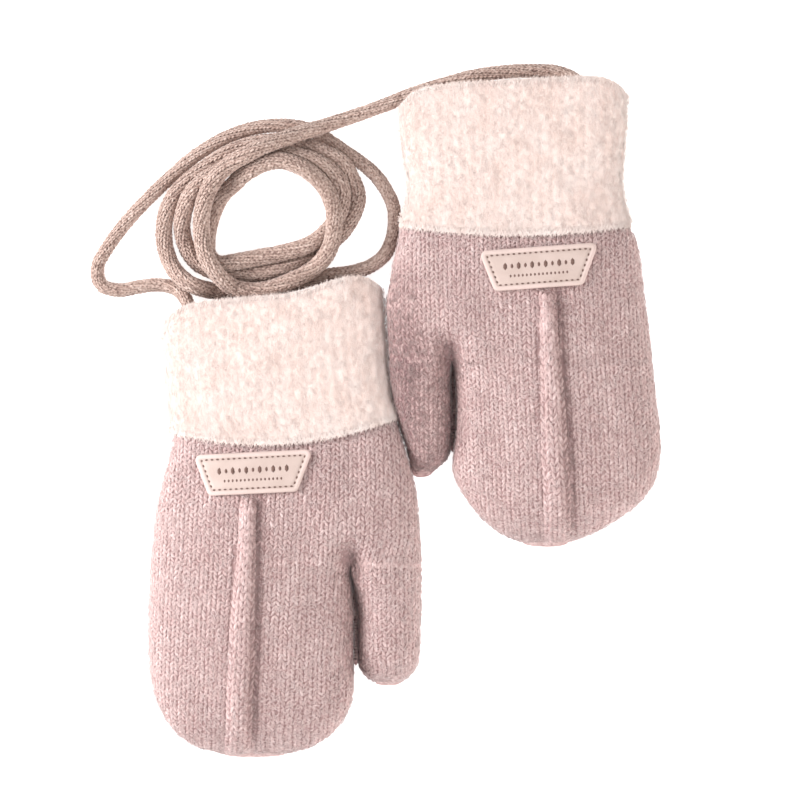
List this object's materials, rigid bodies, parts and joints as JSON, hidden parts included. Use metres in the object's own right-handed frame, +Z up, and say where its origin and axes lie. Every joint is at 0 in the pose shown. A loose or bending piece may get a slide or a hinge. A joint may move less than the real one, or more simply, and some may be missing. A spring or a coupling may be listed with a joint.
{
  "type": "pair of baby mittens",
  "caption": "Knitted baby mittens joined by a long neck cord, with brushed ribbed cuffs, set-in thumbs and a small patch on each back, lying flat.",
  "frame": {"origin": "centre of the mittens' footprint on the surface they lie on, the cord left out", "axes": "+Y from the fingertips to the cuffs, +X to the right seen from above, +Z up from the surface"},
  "size_m": [0.1697, 0.2067, 0.0228],
  "materials": {
    "hand_knit": "brushed heathered knit",
    "cuff_brushed_knit": "fluffy brushed knit",
    "patch_leatherette": "soft matte leatherette",
    "cord_knit": "knitted cord"
  },
  "bodies": {
    "root": {"cuff_left": "cuff_brushed_knit", "hand_left": "hand_knit", "thumb_left": "hand_knit", "patch_left": "patch_leatherette", "cuff_right": "cuff_brushed_knit", "hand_right": "hand_knit", "thumb_right": "hand_knit", "patch_right": "patch_leatherette", "neck_cord": "cord_knit"}
  },
  "joints": []
}
